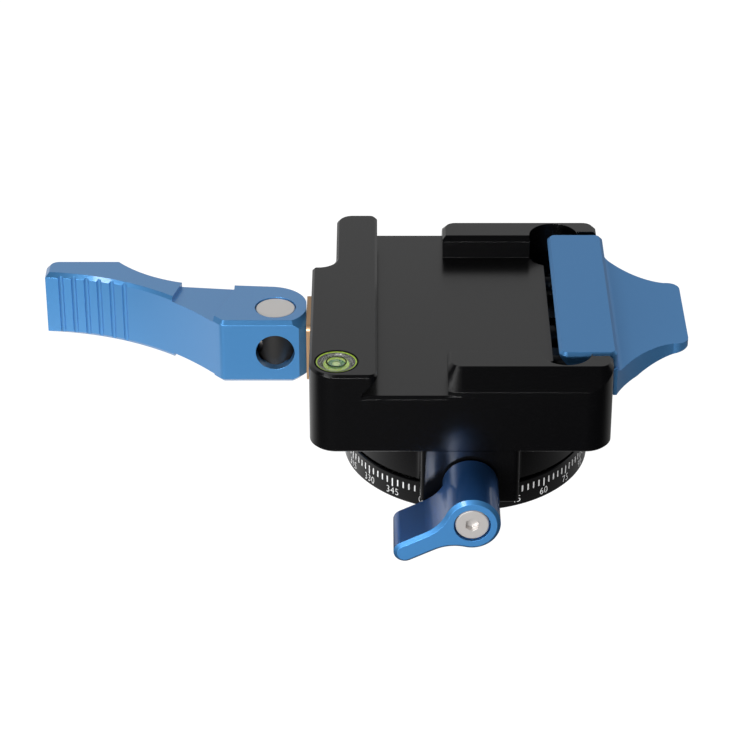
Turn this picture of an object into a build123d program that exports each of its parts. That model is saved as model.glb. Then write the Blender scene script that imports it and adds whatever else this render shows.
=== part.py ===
"""Panning lever clamp for dovetail camera plates.

A lever closes a sprung jaw on a 38 mm dovetail plate, and the clamp pans on a
base with a degree scale that a wing knob locks. Sizes are in millimetres.
The origin is on the pan axis at the bottom of the scale ring, with +Z up,
+X towards the moving jaw's finger tab and -Y towards the wing knob.
"""
import os
from math import atan2, cos, pi, radians, sin, sqrt

from build123d import *

os.makedirs("parts", exist_ok=True)

# Fits and gaps shared by several pieces
running_fit = 0.05  # radial gap of a shaft that turns or slides in its hole
seat_fit = 0.02  # radial gap of a piece pressed or screwed into its seat
slide_gap = 0.10  # gap beside flat faces that slide past each other
cam_gap = 0.08  # gap left between the cam and its wear plate
screw_room = 0.30  # radial room round a screw that only passes through

# Scale ring and hub
ring_radius = 25.0
ring_height = 5.8
ring_edge = 0.4
hub_radius = 15.0
groove_depth = 2.2
relief_inner = 8.0
foot_width = 4.5
relief_depth = 0.5

# Thread reducer in the middle of the base
reducer_radius = 4.76
reducer_bore = 2.60
reducer_length = 8.4
reducer_recess = 0.4
coin_slot_width = 1.2
coin_slot_depth = 1.0

# Pan housing, with the boss that carries the wing knob
pan_gap = 0.3
housing_step = 0.2
housing_height = 13.0
housing_edge = 0.4
boss_half_width = 9.7
boss_length = 6.2
boss_corner = 1.2
boss_blend = 1.6
glide_depth = 1.0
glide_rim = 1.3
slip_rim = 1.0
slip_thickness = 0.8

# Screws from the housing up into the clamp body
housing_screw_radius = 1.5
housing_screw_inset = 4.8
housing_screw_angles = (60, 120, 240, 300)
housing_screw_head = 2.75
housing_screw_head_height = 3.0
housing_screw_grip = 6.0
housing_screw_recess = 3.4

# Brake: shoe, stud and wing knob on one axis towards -Y
knob_height = 11.0
brake_radius = 3.0
shoe_length = 8.0
nose_flat = 0.8
knob_radius = 5.5
knob_gap = 0.8
knob_length = 14.6
wing_length = 11.9
wing_half_width = 2.2
wing_reach = 14.4
wing_angle = 206.4
wing_blend = 8.6
knob_bevel = 0.7
stud_depth_in_knob = 11.0
knob_screw_radius = 3.25
knob_screw_height = 1.9
knob_screw_sink = 0.3
knob_screw_shank = 1.5
knob_screw_grip = 6.0
knob_recess_room = 0.3
knob_socket = 2.5

# Dog point screws that hold the housing down on the hub
keeper_radius = 2.0
keeper_length = 8.0
keeper_angles = (30, 150)
keeper_socket = 2.0

# Clamp body
body_left = -31.4
body_right = 27.4
body_half_width = 33.0
body_base_height = 12.6
wall_height = 4.7
body_corner = 5.2
body_edge = 0.4
notch_depth = 4.8
notch_start = 10.5
notch_blend = 3.6
notch_lip = 0.9
notch_end_corner = 3.2
floor_edge = 0.6

# Fixed jaw along the left side
jaw_top_width = 13.2
jaw_land = 1.0
jaw_undercut = 3.0
jaw_edge = 0.5
jaw_corner = 1.6

# Raised walls at the front and back of the plate channel
end_wall_left = -4.6
end_wall_overlap = 1.7
end_wall_inner_edge = 1.0
end_wall_bevel = 3.7
end_wall_corner = 5.75
end_wall_corner_offset = 2.7
relief_hole_radius = 5.0
relief_hole_offset = 2.1
relief_hole_overlap = 0.6
end_wall_step_offset = 7.1
end_wall_step_room = 0.9

# Moving jaw
open_gap = 35.3
pad_width = 10.7
pad_edge = 0.6
pad_corner = 1.6
bar_half_length = 24.5
bar_depth = 9.4
pocket_room = 0.8
outer_wall = 0.7
tab_height = 4.9
tab_depth = 4.5
tab_reach = 15.1
tab_tip_thickness = 1.5
tab_half_width = 12.3
tab_tip_length = 3.1
tab_tip_corner = 2.5
tab_crease = 1.4
tab_flare_x = 1.5
tab_flare_y = 4.0
tab_waist = 5.5
tab_waist_rise = 1.2
tongue_half_width = 6.0
tongue_depth = 5.6
guide_pin_radius = 1.5
guide_pin_spacing = 32.0
guide_pin_height = 2.2
guide_pin_length = 17.0
guide_pin_seat = 5.0

# Draw screw, return spring and cross pin
draw_height = 6.6
screw_radius = 2.5
screw_head_radius = 2.9
screw_head_height = 2.55
screw_head_edge = 0.3
screw_socket = 3.0
screw_socket_depth = 1.5
spring_wire = 0.4
spring_coil_radius = 3.45
spring_turns = 7
spring_seat_depth = 12.0
pin_radius = 4.1
pin_flat = 1.0
pin_end_room = 0.15
pin_edge = 0.3
pin_to_body = 7.3

# Wear plate let into the body's left side
plate_proud = 1.0
plate_seat = 1.0
plate_half_width = 6.6
plate_height = 13.0
plate_corner = 1.4

# Lever with its cam
lever_height = 14.1
travel = 2.2
lever_swing = 86.0
cam_steps = 9
block_front = -6.0
block_left = -11.9
block_meet = -4.8
block_corner = 7.7
lever_tip = -47.8
tip_front = 13.6
tip_back = 19.8
tip_corner = 2.5
tip_pull = (-38.0, 13.2)
block_pull = (-25.0, 10.5)
shoulder_left = -33.6
shoulder_mid_x = -26.6
shoulder_mid_y = 13.4
neck_left = -19.4
neck_back = 10.2
neck_slant = 2.3
neck_front = 2.0
neck_right = -8.6
waist_back = 9.05
neck_depth = 1.0
lever_front_edge = 0.8
nose_corner = 1.5
nose_run = 1.1
window_radius = 3.9
head_room = 0.35
slot_room = 0.3
pin_countersink = 0.4
grip_count = 6
grip_first = -44.6
grip_pitch = 2.65
grip_radius = 0.55
grip_depth = 0.4
curve_search_end = 1e-9

# Round level in the front left corner
level_radius = 4.05
level_inset_x = 5.3
level_inset_y = 5.5
level_depth = 5.6
level_sink = 0.15
level_wall = 0.7
level_floor = 0.8
level_lens_thickness = 1.5

# Heights and places that follow from the sizes above
housing_bottom = ring_height + pan_gap
body_bottom = housing_bottom + housing_height
floor_z = body_bottom + body_base_height
body_top = floor_z + wall_height
body_length = body_right - body_left
hub_top = body_bottom - slip_thickness - running_fit
relief_outer = ring_radius - foot_width
slip_radius = hub_radius - slip_rim
housing_radius = ring_radius - housing_step
glide_outer = housing_radius - glide_rim
housing_screw_circle = housing_radius - housing_screw_inset
boss_reach = housing_radius + boss_length
knob_back = boss_reach + knob_gap
knob_front = knob_back + knob_length
draw_z = body_bottom + draw_height
jaw_right = body_left + jaw_top_width
pad_left = jaw_right + open_gap
pad_right = pad_left + pad_width
bar_left = pad_left + jaw_undercut
bar_right = pad_right + outer_wall
bar_bottom = body_top - bar_depth
pocket_left = pad_left - pocket_room
pocket_z = bar_bottom - slide_gap
relief_hole_x = pocket_left + relief_hole_offset
relief_hole_y = bar_half_length - relief_hole_overlap
end_wall_inner = bar_half_length - end_wall_overlap
end_wall_step_x = pocket_left + end_wall_step_offset
end_wall_step_inner = bar_half_length + end_wall_step_room
guide_pin_z = bar_bottom + guide_pin_height
cam_start = pin_to_body - plate_proud
pin_x = body_left - pin_to_body
level_x = body_left + level_inset_x
level_y = level_inset_y - body_half_width


def cone_point(radius):
    """Distance from the pan axis of a 45 degree nose of this radius in the groove."""
    return hub_radius - groove_depth + running_fit * 2 ** 0.5 + radius


def front_plane(distance):
    """Return a plane across the knob's axis, at this distance in front of the pan axis."""
    wing_turn = radians(wing_angle)
    wing_direction = (cos(wing_turn), 0, sin(wing_turn))
    return Plane(origin=(0, -distance, knob_height), x_dir=wing_direction, z_dir=(0, -1, 0))


def side_plane(x, y, z):
    """Return a plane that faces +X at this place."""
    return Plane(origin=(x, y, z), x_dir=(0, 1, 0), z_dir=(1, 0, 0))


def left_side_corners(right, right_radius):
    """Corners of a plan outline that has the body's left side, each with its radius."""
    notch_x = body_left + notch_depth
    return {
        (body_left, -body_half_width): body_corner,
        (right, -body_half_width): right_radius,
        (right, body_half_width): right_radius,
        (notch_x, body_half_width): notch_end_corner,
        (notch_x, notch_start): notch_blend,
        (body_left, notch_start): notch_lip,
    }


def radial_plane(angle, distance, height):
    """Return a plane at this distance from the pan axis that faces outwards."""
    out = (cos(radians(angle)), sin(radians(angle)), 0)
    across = (-out[1], out[0], 0)
    return Plane(origin=(out[0] * distance, out[1] * distance, height), x_dir=across, z_dir=out)


# Scale ring with the hub that the housing turns on, in one turned piece
with BuildPart() as scale_ring:
    with BuildSketch(Plane.XZ):
        with BuildLine():
            Polyline(
                (0, 0),
                (ring_radius - ring_edge, 0),
                (ring_radius, ring_edge),
                (ring_radius, ring_height - ring_edge / 2),
                (ring_radius - ring_edge / 2, ring_height),
                (hub_radius, ring_height),
                (hub_radius, knob_height - groove_depth),
                (hub_radius - groove_depth, knob_height),
                (hub_radius, knob_height + groove_depth),
                (hub_radius, hub_top),
                (0, hub_top),
                close=True,
            )
        make_face()
    revolve(axis=Axis.Z)
    with BuildSketch(Plane.XY):
        Circle(relief_outer)
        Circle(relief_inner, mode=Mode.SUBTRACT)
    extrude(amount=relief_depth, mode=Mode.SUBTRACT)
    with BuildSketch(Plane.XY):
        Circle(reducer_radius + seat_fit)
    extrude(amount=reducer_recess + reducer_length, mode=Mode.SUBTRACT)
scale_ring.part.label = "scale_ring"
export_step(scale_ring.part, "parts/scale_ring.step")

# Threaded bush that narrows the base's large thread to the small one
with BuildPart() as reducer_bush:
    with BuildSketch(Plane.XY.offset(reducer_recess)):
        Circle(reducer_radius)
        Circle(reducer_bore, mode=Mode.SUBTRACT)
    extrude(amount=reducer_length)
    with BuildSketch(Plane.XY.offset(reducer_recess)):
        Rectangle(2 * reducer_radius, coin_slot_width)
    extrude(amount=coin_slot_depth, mode=Mode.SUBTRACT)
reducer_bush.part.label = "reducer_bush"
export_step(reducer_bush.part, "parts/reducer_bush.step")

# Centre, end and middle of the small arc that blends the boss's right side into the housing
blend_x = boss_half_width + boss_blend
blend_y = -sqrt((housing_radius + boss_blend) ** 2 - blend_x**2)
blend_touch = housing_radius / (housing_radius + boss_blend)
touch_x = blend_x * blend_touch
touch_y = blend_y * blend_touch
blend_angle = (atan2(touch_y - blend_y, touch_x - blend_x) + pi) / 2
arc_x = blend_x + boss_blend * cos(blend_angle)
arc_y = blend_y + boss_blend * sin(blend_angle)

# Round housing that turns on the hub, with the knob's boss at the front
with BuildPart() as pan_housing:
    with BuildSketch(Plane.XY.offset(housing_bottom)):
        with BuildLine():
            ThreePointArc((touch_x, touch_y), (0, housing_radius), (-touch_x, touch_y))
            ThreePointArc((-touch_x, touch_y), (-arc_x, arc_y), (-boss_half_width, blend_y))
            FilletPolyline(
                (-boss_half_width, blend_y),
                (-boss_half_width, -boss_reach),
                (boss_half_width, -boss_reach),
                (boss_half_width, blend_y),
                radius=boss_corner,
            )
            ThreePointArc((boss_half_width, blend_y), (arc_x, arc_y), (touch_x, touch_y))
        make_face()
    extrude(amount=housing_height)
    chamfer(pan_housing.faces().sort_by(Axis.Z)[0].edges(), housing_edge)
    with BuildSketch(Plane.XY.offset(housing_bottom)):
        Circle(hub_radius + running_fit)
    extrude(amount=housing_height, mode=Mode.SUBTRACT)
    with BuildSketch(Plane.XY.offset(housing_bottom)):
        Circle(glide_outer + seat_fit)
    extrude(amount=glide_depth, mode=Mode.SUBTRACT)
    with BuildSketch(Plane.XY.offset(housing_bottom)):
        for angle in housing_screw_angles:
            with PolarLocations(housing_screw_circle, 1, start_angle=angle):
                Circle(housing_screw_radius + seat_fit)
    extrude(amount=housing_height, mode=Mode.SUBTRACT)
    with BuildSketch(Plane.XY.offset(housing_bottom)):
        for angle in housing_screw_angles:
            with PolarLocations(housing_screw_circle, 1, start_angle=angle):
                Circle(housing_screw_head + seat_fit)
    extrude(amount=glide_depth + housing_screw_recess, mode=Mode.SUBTRACT)
    with BuildSketch(front_plane(0)):
        Circle(brake_radius + running_fit)
    extrude(amount=boss_reach, mode=Mode.SUBTRACT)
    for angle in keeper_angles:
        with BuildSketch(radial_plane(angle, 0, knob_height)):
            Circle(keeper_radius + seat_fit)
        extrude(amount=housing_radius, mode=Mode.SUBTRACT)
pan_housing.part.label = "pan_housing"
export_step(pan_housing.part, "parts/pan_housing.step")

# Low friction ring between the scale ring and the housing
with BuildPart() as glide_ring:
    with BuildSketch(Plane.XY.offset(ring_height + running_fit)):
        Circle(glide_outer)
        Circle(hub_radius + screw_room, mode=Mode.SUBTRACT)
    extrude(amount=pan_gap + glide_depth - running_fit)
glide_ring.part.label = "glide_ring"
export_step(glide_ring.part, "parts/glide_ring.step")

# Low friction disc between the hub's top and the clamp body
with BuildPart() as slip_disc:
    with BuildSketch(Plane.XY.offset(body_bottom)):
        Circle(slip_radius)
    extrude(amount=-slip_thickness)
slip_disc.part.label = "slip_disc"
export_step(slip_disc.part, "parts/slip_disc.step")

# Four cap screws that hold the clamp body on the housing
screw_seat = housing_bottom + glide_depth + housing_screw_recess
with BuildPart() as housing_screws:
    for angle in housing_screw_angles:
        with BuildSketch(Plane.XY.offset(screw_seat)):
            with PolarLocations(housing_screw_circle, 1, start_angle=angle):
                Circle(housing_screw_radius)
        extrude(amount=body_bottom - screw_seat + housing_screw_grip)
        with BuildSketch(Plane.XY.offset(screw_seat)):
            with PolarLocations(housing_screw_circle, 1, start_angle=angle):
                Circle(housing_screw_head)
        extrude(amount=-housing_screw_head_height)
        with BuildSketch(Plane.XY.offset(screw_seat - housing_screw_head_height)):
            with PolarLocations(housing_screw_circle, 1, start_angle=angle):
                RegularPolygon(knob_socket / 2, 6, major_radius=False)
        extrude(amount=housing_screw_head_height / 2, mode=Mode.SUBTRACT)
housing_screws.part.label = "housing_screws"
export_step(housing_screws.part, "parts/housing_screws.step")

# Two dog point screws that run in the hub's groove and keep the housing down
with BuildPart() as keeper_screws:
    for angle in keeper_angles:
        with BuildSketch(radial_plane(angle, cone_point(keeper_radius), knob_height)):
            Circle(keeper_radius)
        extrude(amount=keeper_length)
        with BuildSketch(radial_plane(angle, cone_point(keeper_radius), knob_height)):
            Circle(keeper_radius)
        with BuildSketch(radial_plane(angle, cone_point(nose_flat), knob_height)):
            Circle(nose_flat)
        loft()
        socket_start = cone_point(keeper_radius) + keeper_length
        with BuildSketch(radial_plane(angle, socket_start, knob_height)):
            RegularPolygon(keeper_socket / 2, 6, major_radius=False)
        extrude(amount=-keeper_socket, mode=Mode.SUBTRACT)
keeper_screws.part.label = "keeper_screws"
export_step(keeper_screws.part, "parts/keeper_screws.step")

# Brass shoe whose nose presses into the hub's groove
with BuildPart() as brake_shoe:
    with BuildSketch(front_plane(cone_point(brake_radius))):
        Circle(brake_radius)
    extrude(amount=shoe_length - brake_radius)
    with BuildSketch(front_plane(cone_point(brake_radius))):
        Circle(brake_radius)
    with BuildSketch(front_plane(cone_point(nose_flat))):
        Circle(nose_flat)
    loft()
brake_shoe.part.label = "brake_shoe"
export_step(brake_shoe.part, "parts/brake_shoe.step")
shoe_back = cone_point(brake_radius) + shoe_length - brake_radius

# Threaded stud that carries the knob and pushes the shoe
stud_end = knob_back + stud_depth_in_knob
with BuildPart() as lock_stud:
    with BuildSketch(front_plane(shoe_back + running_fit)):
        Circle(brake_radius)
    extrude(amount=stud_end - shoe_back - running_fit)
    with BuildSketch(front_plane(stud_end)):
        Circle(knob_screw_shank + seat_fit)
    extrude(amount=-knob_screw_grip, mode=Mode.SUBTRACT)
lock_stud.part.label = "lock_stud"
export_step(lock_stud.part, "parts/lock_stud.step")

# Wing knob: a barrel with one wing, hollowed for the stud and its screw
blend_centre_x = sqrt((knob_radius + wing_blend) ** 2 - (wing_half_width + wing_blend) ** 2)
blend_centre_y = wing_half_width + wing_blend
root_share = knob_radius / (knob_radius + wing_blend)
wing_root = (blend_centre_x * root_share, blend_centre_y * root_share)
root_angle = atan2(wing_root[1] - blend_centre_y, wing_root[0] - blend_centre_x)
flank_angle = (root_angle - pi / 2) / 2
flank_middle = (
    blend_centre_x + wing_blend * cos(flank_angle),
    blend_centre_y + wing_blend * sin(flank_angle),
)
with BuildPart() as pan_knob:
    with BuildSketch(front_plane(knob_front)):
        with BuildLine():
            Line((blend_centre_x, wing_half_width), (wing_reach, wing_half_width))
            ThreePointArc(
                (wing_reach, wing_half_width),
                (wing_reach + wing_half_width, 0),
                (wing_reach, -wing_half_width),
            )
            Line((wing_reach, -wing_half_width), (blend_centre_x, -wing_half_width))
            ThreePointArc(
                (blend_centre_x, -wing_half_width),
                (flank_middle[0], -flank_middle[1]),
                (wing_root[0], -wing_root[1]),
            )
            ThreePointArc((wing_root[0], -wing_root[1]), (-knob_radius, 0), wing_root)
            ThreePointArc(wing_root, flank_middle, (blend_centre_x, wing_half_width))
        make_face()
    extrude(amount=-wing_length)
    chamfer(pan_knob.faces().sort_by(Axis.Y)[0].edges(), knob_bevel)
    with BuildSketch(front_plane(knob_back)):
        Circle(knob_radius)
    extrude(amount=knob_length - wing_length)
    with BuildSketch(front_plane(knob_back)):
        Circle(brake_radius + seat_fit)
    extrude(amount=stud_depth_in_knob, mode=Mode.SUBTRACT)
    with BuildSketch(front_plane(knob_back)):
        Circle(knob_screw_shank + screw_room)
    extrude(amount=knob_length, mode=Mode.SUBTRACT)
    with BuildSketch(front_plane(knob_front)):
        Circle(knob_screw_radius + knob_recess_room)
    extrude(amount=-knob_screw_height - knob_screw_sink, mode=Mode.SUBTRACT)
pan_knob.part.label = "pan_knob"
export_step(pan_knob.part, "parts/pan_knob.step")

# Socket screw in the knob's face
knob_screw_face = knob_front - knob_screw_sink
with BuildPart() as knob_screw:
    with BuildSketch(front_plane(knob_screw_face)):
        Circle(knob_screw_radius)
    extrude(amount=-knob_screw_height)
    with BuildSketch(front_plane(knob_screw_face)):
        Circle(knob_screw_shank)
    extrude(amount=stud_end - knob_screw_grip + seat_fit - knob_screw_face)
    chamfer(knob_screw.faces().sort_by(Axis.Y)[0].edges(), ring_edge / 2)
    with BuildSketch(front_plane(knob_screw_face)):
        RegularPolygon(knob_socket / 2, 6, major_radius=False)
    extrude(amount=-knob_socket / 2, mode=Mode.SUBTRACT)
knob_screw.part.label = "knob_screw"
export_step(knob_screw.part, "parts/knob_screw.step")

# Fixed jaw, raised along the left side of the clamp body
jaw_corners = left_side_corners(jaw_right, jaw_corner)
with BuildPart() as fixed_jaw:
    with BuildSketch(Plane.XY.offset(floor_z)):
        with BuildLine():
            FilletPolyline(*jaw_corners.keys(), radius=jaw_corners.values(), close=True)
        make_face()
    extrude(amount=wall_height)
    chamfer(fixed_jaw.faces().sort_by(Axis.Z)[-1].edges(), jaw_edge)

# Front and back walls: a bevelled frame, cut back to two end walls
form_left = end_wall_left + end_wall_corner_offset - end_wall_corner
form_right = body_right - end_wall_corner_offset + end_wall_corner
with BuildPart() as end_walls:
    with BuildSketch(Plane.XY.offset(floor_z)):
        with Locations(((form_left + form_right) / 2, 0)):
            RectangleRounded(form_right - form_left, 2 * body_half_width, end_wall_corner)
    extrude(amount=wall_height)
    chamfer(end_walls.faces().sort_by(Axis.Z)[-1].edges(), end_wall_bevel)
    with BuildSketch(Plane.XY.offset(floor_z)):
        with BuildLine():
            FilletPolyline(
                (end_wall_left, -body_half_width),
                (body_right, -body_half_width),
                (body_right, body_half_width),
                (end_wall_left, body_half_width),
                radius=(0, body_corner, body_corner, 0),
                close=True,
            )
        make_face()
        with Locations(((end_wall_left + body_right) / 2, 0)):
            Rectangle(body_length, 2 * end_wall_inner, mode=Mode.SUBTRACT)
        with Locations((end_wall_step_x + body_length / 2, 0)):
            Rectangle(body_length, 2 * end_wall_step_inner, mode=Mode.SUBTRACT)
    extrude(amount=wall_height, mode=Mode.INTERSECT)
    top_edges = end_walls.faces().sort_by(Axis.Z)[-2:].edges().filter_by(Axis.X)
    inner_edges = [edge for edge in top_edges if abs(edge.center().Y) < (end_wall_inner + end_wall_step_inner) / 2]
    chamfer(inner_edges, end_wall_inner_edge)

# Clamp body: the base slab with its jaw and walls, and everything cut in it
slab_corners = left_side_corners(body_right, body_corner)
with BuildPart() as clamp_body:
    with BuildSketch(Plane.XY.offset(body_bottom)):
        with BuildLine():
            FilletPolyline(*slab_corners.keys(), radius=slab_corners.values(), close=True)
        make_face()
    extrude(amount=body_base_height)
    chamfer(clamp_body.faces().sort_by(Axis.Z)[0].edges(), body_edge)
    # The channel floor runs out over the front and back faces with a small bevel
    with BuildSketch(Plane.YZ.offset(jaw_right - jaw_undercut)):
        for side in (-1, 1):
            with BuildLine():
                Polyline(
                    (side * body_half_width, floor_z - floor_edge),
                    (side * (body_half_width - floor_edge), floor_z),
                    (side * body_half_width, floor_z),
                    close=True,
                )
            make_face()
    extrude(amount=end_wall_left - jaw_right + jaw_undercut, mode=Mode.SUBTRACT)
    add(fixed_jaw.part)
    add(end_walls.part)
    # Dovetail flank under the fixed jaw's lip
    with BuildSketch(Plane.XZ):
        with BuildLine():
            Polyline(
                (jaw_right, body_top - jaw_land),
                (jaw_right, floor_z),
                (jaw_right - jaw_undercut, floor_z),
                (jaw_right - jaw_undercut, body_top - jaw_land - jaw_undercut),
                close=True,
            )
        make_face()
    extrude(amount=body_half_width, both=True, mode=Mode.SUBTRACT)
    # Pocket for the moving jaw, open to the right, with a round relief in each wall
    with BuildSketch(Plane.XY.offset(pocket_z)):
        with Locations((pocket_left + body_length / 2, 0)):
            Rectangle(body_length, 2 * (bar_half_length + slide_gap))
        with Locations((relief_hole_x, relief_hole_y), (relief_hole_x, -relief_hole_y)):
            Circle(relief_hole_radius)
    extrude(amount=body_top - pocket_z, mode=Mode.SUBTRACT)
    # Slot for the jaw's tongue, then the bore for the draw screw and its spring
    with BuildSketch(Plane.XY.offset(pocket_z)):
        with Locations((pocket_left + body_length / 2, 0)):
            Rectangle(body_length, 2 * (tongue_half_width + slide_gap))
    extrude(amount=-tongue_depth - slide_gap, mode=Mode.SUBTRACT)
    with BuildSketch(side_plane(body_left, 0, draw_z)):
        Circle(screw_radius + screw_room)
    extrude(amount=body_length, mode=Mode.SUBTRACT)
    with BuildSketch(side_plane(pocket_left, 0, draw_z)):
        Circle(spring_coil_radius + spring_wire + screw_room)
    extrude(amount=-spring_seat_depth, mode=Mode.SUBTRACT)
    pin_hole_depth = guide_pin_length - guide_pin_seat - (bar_left - pocket_left) + travel + screw_room
    for side in (-1, 1):
        with BuildSketch(side_plane(pocket_left, side * guide_pin_spacing / 2, guide_pin_z)):
            Circle(guide_pin_radius + running_fit)
        extrude(amount=-pin_hole_depth, mode=Mode.SUBTRACT)
    # Seat of the wear plate
    with BuildSketch(side_plane(body_left, 0, draw_z)):
        RectangleRounded(2 * (plate_half_width + seat_fit), plate_height + 2 * seat_fit, plate_corner)
    extrude(amount=plate_seat, mode=Mode.SUBTRACT)
    # Pocket of the round level
    with BuildSketch(Plane.XY.offset(body_top)):
        with Locations((level_x, level_y)):
            Circle(level_radius + running_fit)
    extrude(amount=-level_depth - level_sink, mode=Mode.SUBTRACT)
    # Threads for the screws that come up from the housing
    for angle in housing_screw_angles:
        with BuildSketch(Plane.XY.offset(body_bottom)):
            with PolarLocations(housing_screw_circle, 1, start_angle=angle):
                Circle(housing_screw_radius + seat_fit)
        extrude(amount=housing_screw_grip, mode=Mode.SUBTRACT)
clamp_body.part.label = "clamp_body"
export_step(clamp_body.part, "parts/clamp_body.step")

# Bronze plate that the cam slides on, let into the body's left side
with BuildPart() as wear_plate:
    with BuildSketch(side_plane(body_left - plate_proud, 0, draw_z)):
        RectangleRounded(2 * plate_half_width, plate_height, plate_corner)
        Circle(screw_radius + screw_room, mode=Mode.SUBTRACT)
    extrude(amount=plate_proud + plate_seat)
wear_plate.part.label = "wear_plate"
export_step(wear_plate.part, "parts/wear_plate.step")

# Round level: cup, liquid and lens
with BuildPart() as level_cup:
    with BuildSketch(Plane.XY.offset(body_top - level_sink)):
        with Locations((level_x, level_y)):
            Circle(level_radius)
    extrude(amount=-level_depth)
    with BuildSketch(Plane.XY.offset(body_top - level_sink)):
        with Locations((level_x, level_y)):
            Circle(level_radius - level_wall)
    extrude(amount=-level_depth + level_floor, mode=Mode.SUBTRACT)
level_cup.part.label = "level_cup"
export_step(level_cup.part, "parts/level_cup.step")

liquid_top = body_top - level_sink - level_lens_thickness
with BuildPart() as level_liquid:
    with BuildSketch(Plane.XY.offset(liquid_top)):
        with Locations((level_x, level_y)):
            Circle(level_radius - level_wall)
    extrude(amount=level_lens_thickness + level_floor - level_depth)
level_liquid.part.label = "level_liquid"
export_step(level_liquid.part, "parts/level_liquid.step")

with BuildPart() as level_lens:
    with BuildSketch(Plane.XY.offset(liquid_top)):
        with Locations((level_x, level_y)):
            Circle(level_radius - level_wall)
    extrude(amount=level_lens_thickness)
level_lens.part.label = "level_lens"
export_step(level_lens.part, "parts/level_lens.step")

# Finger tab of the moving jaw: a side profile cut to a flared plan
tab_top = body_top - tab_height
tab_end = bar_right + tab_reach
with BuildPart() as finger_tab:
    with BuildSketch(Plane.XZ):
        with BuildLine():
            Line((pad_right, bar_bottom), (pad_right, tab_top + tab_crease))
            Line((pad_right, tab_top + tab_crease), (bar_right, tab_top + tab_crease))
            RadiusArc((bar_right, tab_top + tab_crease), (bar_right + tab_crease, tab_top), -tab_crease)
            Polyline(
                (bar_right + tab_crease, tab_top),
                (tab_end, tab_top),
                (tab_end, tab_top - tab_tip_thickness),
                (bar_right + tab_depth, bar_bottom),
                (pad_right, bar_bottom),
            )
        make_face()
    extrude(amount=bar_half_length, both=True)
    with BuildSketch(Plane.XY.offset(bar_bottom)):
        with BuildLine():
            flare_start = (bar_right, bar_half_length)
            flare_end = (tab_end - tab_tip_length, tab_half_width)
            Bezier(
                flare_start,
                (bar_right + tab_flare_x, bar_half_length - tab_flare_y),
                (flare_end[0] - tab_waist, tab_half_width + tab_waist_rise),
                flare_end,
            )
            FilletPolyline(
                flare_end,
                (tab_end, tab_half_width),
                (tab_end, -tab_half_width),
                (flare_end[0], -tab_half_width),
                radius=tab_tip_corner,
            )
            Bezier(
                (flare_end[0], -tab_half_width),
                (flare_end[0] - tab_waist, -tab_half_width - tab_waist_rise),
                (bar_right + tab_flare_x, tab_flare_y - bar_half_length),
                (bar_right, -bar_half_length),
            )
            Polyline(
                (bar_right, -bar_half_length),
                (pad_right, -bar_half_length),
                (pad_right, bar_half_length),
                flare_start,
            )
        make_face()
    extrude(amount=bar_depth, mode=Mode.INTERSECT)

# Moving jaw: a dovetail bar with a tongue below it and the tab beside it
with BuildPart() as moving_jaw:
    with BuildSketch(Plane.XZ):
        with BuildLine():
            Polyline(
                (pad_left, body_top),
                (bar_right, body_top),
                (bar_right, bar_bottom),
                (bar_left, bar_bottom),
                (bar_left, body_top - jaw_land - jaw_undercut),
                (pad_left, body_top - jaw_land),
                close=True,
            )
        make_face()
    extrude(amount=bar_half_length, both=True)
    with BuildSketch(Plane.XY.offset(bar_bottom)):
        with Locations(((pad_left + bar_right) / 2, 0)):
            RectangleRounded(bar_right - pad_left, 2 * bar_half_length, pad_corner)
    extrude(amount=bar_depth, mode=Mode.INTERSECT)
    chamfer(moving_jaw.faces().sort_by(Axis.Z)[-1].edges(), pad_edge)
    add(finger_tab.part)
    with BuildSketch(Plane.XY.offset(bar_bottom)):
        with Locations(((bar_left + bar_right) / 2, 0)):
            Rectangle(bar_right - bar_left, 2 * tongue_half_width)
    extrude(amount=-tongue_depth)
    with BuildSketch(side_plane(bar_left, 0, draw_z)):
        Circle(screw_radius + seat_fit)
    extrude(amount=bar_right - bar_left, mode=Mode.SUBTRACT)
    for side in (-1, 1):
        with BuildSketch(side_plane(bar_left, side * guide_pin_spacing / 2, guide_pin_z)):
            Circle(guide_pin_radius + seat_fit)
        extrude(amount=guide_pin_seat, mode=Mode.SUBTRACT)
moving_jaw.part.label = "moving_jaw"
export_step(moving_jaw.part, "parts/moving_jaw.step")

# Two pins that keep the moving jaw square
with BuildPart() as guide_pins:
    for side in (-1, 1):
        with BuildSketch(side_plane(bar_left + guide_pin_seat, side * guide_pin_spacing / 2, guide_pin_z)):
            Circle(guide_pin_radius)
        extrude(amount=-guide_pin_length)
guide_pins.part.label = "guide_pins"
export_step(guide_pins.part, "parts/guide_pins.step")

# Draw screw from the cross pin through the body into the moving jaw
head_x = pin_x - pin_flat
with BuildPart() as draw_screw:
    with BuildSketch(side_plane(head_x, 0, draw_z)):
        Circle(screw_head_radius)
    extrude(amount=-screw_head_height)
    chamfer(draw_screw.faces().sort_by(Axis.X)[0].edges(), screw_head_edge)
    with BuildSketch(side_plane(head_x, 0, draw_z)):
        Circle(screw_radius)
    extrude(amount=bar_right - outer_wall - head_x)
    with BuildSketch(side_plane(head_x - screw_head_height, 0, draw_z)):
        RegularPolygon(screw_socket / 2, 6, major_radius=False)
    extrude(amount=screw_socket_depth, mode=Mode.SUBTRACT)
draw_screw.part.label = "draw_screw"
export_step(draw_screw.part, "parts/draw_screw.step")

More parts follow.
